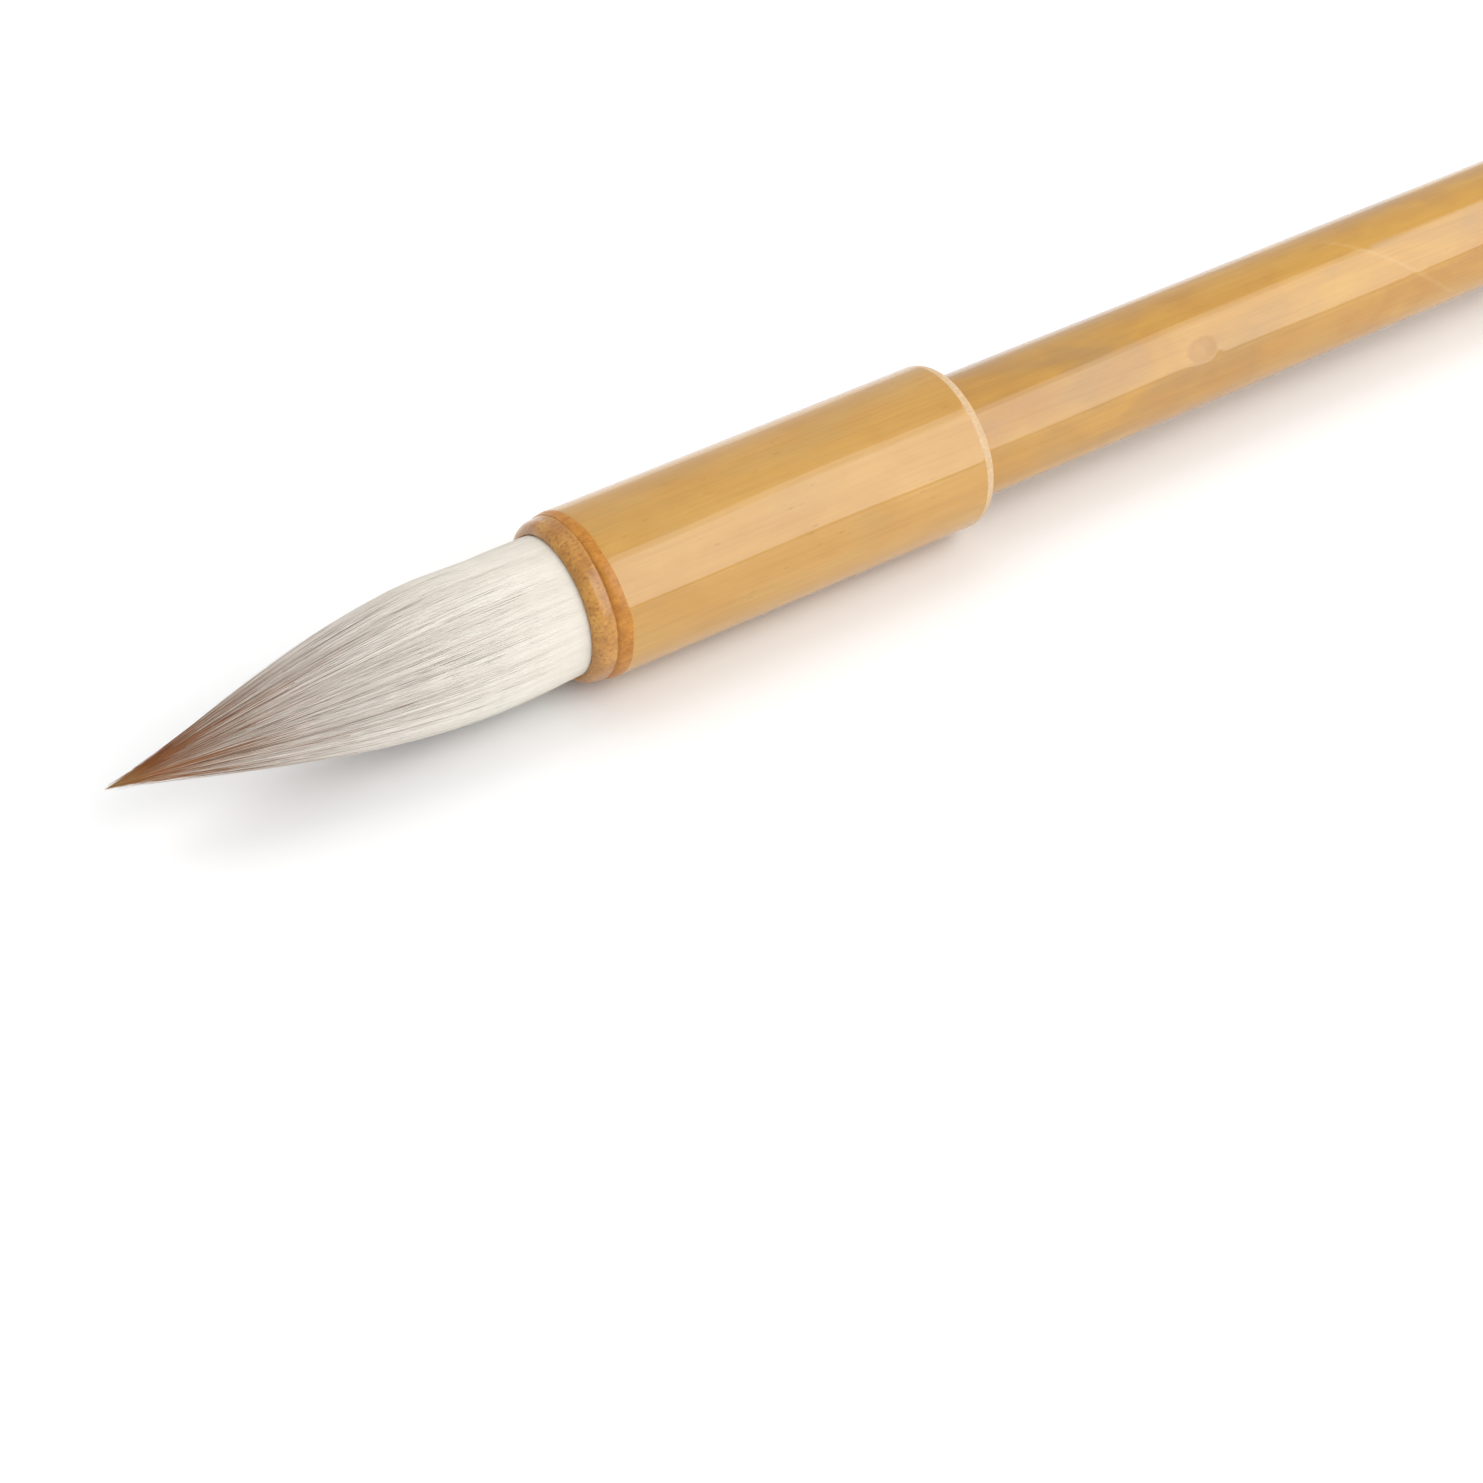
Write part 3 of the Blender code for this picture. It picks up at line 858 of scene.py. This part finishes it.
def packed_hair_mesh(name, low, high):
    """The closed body under the strands, its surface in fine ridges that follow the hairs."""
    ridge_rng = np.random.default_rng(PACKED_SEED)
    sides = PACKED_SIDES
    angle = np.arange(sides) * 2 * math.pi / sides
    ridges = smooth_ring_noise(ridge_rng, 240, angle) * 0.08 * MM
    ridges = ridges + smooth_ring_noise(ridge_rng, 40, angle) * 0.1 * MM
    reach = np.linspace(low, high, PACKED_RINGS)
    fullness = np.clip(tuft_radius(reach) / BELLY_RADIUS, 0, 1)
    radius = tuft_radius(reach)[:, None] * PACKED_SHARE - sag(reach[:, None], angle[None, :])
    radius = radius - ridges[None, :] * fullness[:, None]
    radius = np.maximum(radius, 0.02 * MM)
    x = np.repeat((MOUTH_X - reach)[:, None], sides, axis=1)
    points = np.stack([x, radius * np.cos(angle), AXIS_HEIGHT + radius * np.sin(angle)], -1)
    poles = np.array([
        [[MOUTH_X - low, 0, AXIS_HEIGHT]] * sides,
        [[MOUTH_X - high, 0, AXIS_HEIGHT]] * sides,
    ])
    points = np.concatenate([poles[:1], points, poles[1:]])
    here, side = np.meshgrid(np.arange(PACKED_RINGS + 1), np.arange(sides), indexing="ij")
    after = (side + 1) % sides
    near, far = here * sides, (here + 1) * sides
    quads = np.stack([near + side, near + after, far + after, far + side], -1)
    v = level(np.concatenate([[low], reach, [high]]))
    v0, v1 = v[here], v[here + 1]
    u0, u1 = side / sides, (side + 1) / sides
    uvs = np.stack([u0, v0, u1, v0, u1, v1, u0, v1], -1)
    mesh = mesh_from_grid(name, points.reshape(-1, 3), quads.reshape(-1, 4), uvs)
    merge_poles(mesh, np.zeros(len(mesh.polygons)))
    mesh.shade_smooth()
    mesh.set_sharp_from_angle(angle=PACKED_SHARP_ANGLE)
    return mesh


def white_hairs():
    """The mantle's hairs, from just inside the mouth. Most end about two thirds of the way to the point."""
    count = WHITE_COUNT
    starts = np.full(count, ROOT_REACH)
    kind = rng.random(count)
    short = rng.uniform(13, 28, count) * MM
    usual = rng.normal(32, 5, count) * MM
    long = rng.uniform(34, 45, count) * MM
    ends = np.where(kind < 0.3, short, np.where(kind < 0.86, usual, long))
    depths = rng.beta(1.2, 2.5, count) * 0.07
    widths = rng.uniform(0.045, 0.065, count) * MM
    hairs = Strands(rng, count, starts, ends, depths, widths)
    hairs.end = np.clip(ends + 2.5 * MM * np.cos(hairs.angle - LONG_SIDE), 12 * MM, 46 * MM)
    return hairs


def brown_hairs():
    """The core's long hairs: they come out from under the mantle and make the point."""
    count = BROWN_COUNT
    starts = rng.uniform(14, 22, count) * MM
    ends = HAIR_LENGTH - np.abs(rng.normal(0, 2.2, count)) * MM
    ends = np.clip(ends, 38 * MM, HAIR_LENGTH - 0.05 * MM)
    shallow = rng.random(count) < 0.22
    starts = np.where(shallow, rng.uniform(18, 30, count) * MM, starts)
    depths = np.where(shallow, 0.01, 0.04) + rng.beta(1.5, 2.0, count) * np.where(shallow, 0.03, 0.12)
    widths = rng.uniform(0.045, 0.06, count) * MM
    return Strands(rng, count, starts, ends, depths, widths)


def add_tuft():
    """Each kind of hair in two pieces that meet at the split."""
    packed = packed_hair_material().material
    white = hair_material("white_hair", WHITE_STOPS, ((0.78, 0.72, 0.68), 1.1), 0.45).material
    brown = hair_material("brown_hair", BROWN_STOPS, ((0.72, 0.68, 0.68), 1.25), 0.4).material
    whites, browns = white_hairs(), brown_hairs()
    low, split, high = ROOT_REACH, SPLIT_REACH, HAIR_LENGTH
    rear = [
        (packed_hair_mesh("packed_hair_rear", low, split), packed, "white_hair"),
        (strand_mesh("white_hair_rear", whites, low, split, WHITE_SEGMENTS), white, "white_hair"),
        (strand_mesh("brown_hair_rear", browns, low, split, BROWN_REAR_SEGMENTS), brown, "core_hair"),
    ]
    front = [
        (packed_hair_mesh("packed_hair_front", split, high - PACKED_POINT_GAP), packed, "tip_hair"),
        (strand_mesh("white_hair_front", whites, split, high, WHITE_SEGMENTS), white, "tip_hair"),
        (strand_mesh("brown_hair_front", browns, split, high, BROWN_FRONT_SEGMENTS), brown, "point_hair"),
    ]
    rear_pieces = [add_hair_piece(*made) for made in rear]
    front_pieces = [add_hair_piece(*made) for made in front]
    for piece in rear_pieces:
        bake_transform(piece)
    for piece in front_pieces:
        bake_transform(piece)
    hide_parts("mantle_hair", "lining_hair", "core_hair")
    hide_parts("tip_hair", "point_hair")


def add_hair_piece(mesh, material, slot):
    """A piece of hair, named as its mesh is."""
    piece = add_piece(mesh.name, mesh, [material])
    return piece


# --- Hidden pieces ----------------------------------------------------------


def finish_node(node, shader):
    """A CAD node that stays gets a finished material."""
    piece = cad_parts[node]
    piece.data.materials.clear()
    piece.data.materials.append(shader.material)


def speckled(name, light, dark, scale, roughness):
    """Cork, rosin or thread: two tones in fine noise, with a little relief."""
    made = Shader(name, roughness=roughness, specular=0.3)
    grain = made.noise(made.scaled(made.place(), (scale, scale, scale)), detail=4)
    made.colour(made.ramp(grain, [(0.35, dark), (0.65, light)]))
    made.bump(grain, depth=0.05 * MM, strength=0.5)
    return made


def finish_hidden_pieces():
    """The four CAD nodes inside the brush, which no finished piece replaces."""
    finish_node("culm_front_plug", cut_wood("peg_wood", (0.45, 0.26, 0.11), (0.3, 0.16, 0.06), 0.6))
    finish_node("socket_disc", speckled("cork", (0.5, 0.3, 0.15), (0.22, 0.11, 0.05), 1500, 0.9))
    finish_node("rosin_root", speckled("rosin", (0.35, 0.18, 0.06), (0.18, 0.08, 0.02), 900, 0.25))
    finish_node("root_binding", speckled("waxed_thread", (0.75, 0.68, 0.5), (0.5, 0.42, 0.28), 5000, 0.7))


# --- Stage ------------------------------------------------------------------


def back_direction():
    """From the brush towards the camera."""
    azimuth, elevation = math.radians(VIEW_AZIMUTH), math.radians(VIEW_ELEVATION)
    across = math.cos(elevation)
    return Vector((math.sin(azimuth) * across, -math.cos(azimuth) * across, math.sin(elevation)))


def add_camera():
    data = bpy.data.cameras.new("camera")
    data.lens = VIEW_LENS
    data.sensor_width = SENSOR_WIDTH
    data.clip_start, data.clip_end = 0.01, 20
    camera = bpy.data.objects.new("camera", data)
    bpy.context.scene.collection.objects.link(camera)
    back = back_direction()
    aim = Vector((MOUTH_X, 0, 0)) + AIM_FROM_MOUTH
    camera.location = aim + back * VIEW_DISTANCE
    camera.rotation_euler = (-back).to_track_quat("-Z", "Y").to_euler()
    bpy.context.scene.camera = camera


def add_area_light(name, direction, distance, size, radiance, aim, shift=(0, 0)):
    """A rectangular soft box with a given brightness, square to the aim and shifted in its own plane."""
    data = bpy.data.lights.new(name, "AREA")
    data.shape = "RECTANGLE"
    data.size, data.size_y = size
    data.energy = radiance * math.pi * size[0] * size[1]
    light = bpy.data.objects.new(name, data)
    bpy.context.scene.collection.objects.link(light)
    turn = direction.to_track_quat("Z", "Y")
    light.location = aim + turn @ Vector((*shift, distance))
    light.rotation_euler = turn.to_euler()
    light.visible_camera = False
    return light


def add_stage():
    """A pale floor, an even white surround, a large soft box with a dimmer edge, and a soft light above."""
    bpy.ops.mesh.primitive_plane_add(size=FLOOR_SIZE)
    floor = bpy.context.object
    floor.name = "floor"
    surface = Shader("floor_paper", roughness=0.85, specular=0.2)
    surface.principled.inputs["Base Color"].default_value = (0.9, 0.9, 0.9, 1)
    floor.data.materials.append(surface.material)

    world = bpy.data.worlds.new("studio")
    world.use_nodes = True
    background = world.node_tree.nodes["Background"]
    background.inputs["Color"].default_value = (1.0, 1.0, 1.0, 1)
    background.inputs["Strength"].default_value = SURROUND_STRENGTH
    bpy.context.scene.world = world

    aim = Vector((MOUTH_X + FERRULE_LENGTH, 0, AXIS_HEIGHT))
    back = back_direction()
    # The brush's side mirrors light from this direction into the camera
    mirrored = Vector((-back.x, back.y, back.z))
    near = SOFT_BOX_DISTANCE
    add_area_light("soft_box", mirrored, near, (0.8, 0.76), radiance=2.5, aim=aim, shift=(0.05, -0.17))
    add_area_light("soft_box_edge", mirrored, near, (0.8, 0.09), radiance=1.4, aim=aim, shift=(0.05, 0.255))
    overhead = add_area_light("overhead", Vector((0.1, 0.5, 0.85)), 1.0, (1.2, 1.0), radiance=1.15, aim=aim)
    overhead.visible_glossy = False


add_camera()
bpy.context.scene.view_settings.view_transform = "Standard"

cream_wood = cut_wood("cut_bamboo", (0.61, 0.43, 0.245), (0.53, 0.35, 0.18), 0.55)
add_ferrule(ferrule_skin(), rim_grain(), rim_band(), cream_wood)
add_handle(handle_skin(), cream_wood)
add_tail_plug(cut_wood("turned_wood", (0.4, 0.21, 0.08), (0.27, 0.13, 0.045), 0.4))
add_tuft()
finish_hidden_pieces()
add_stage()
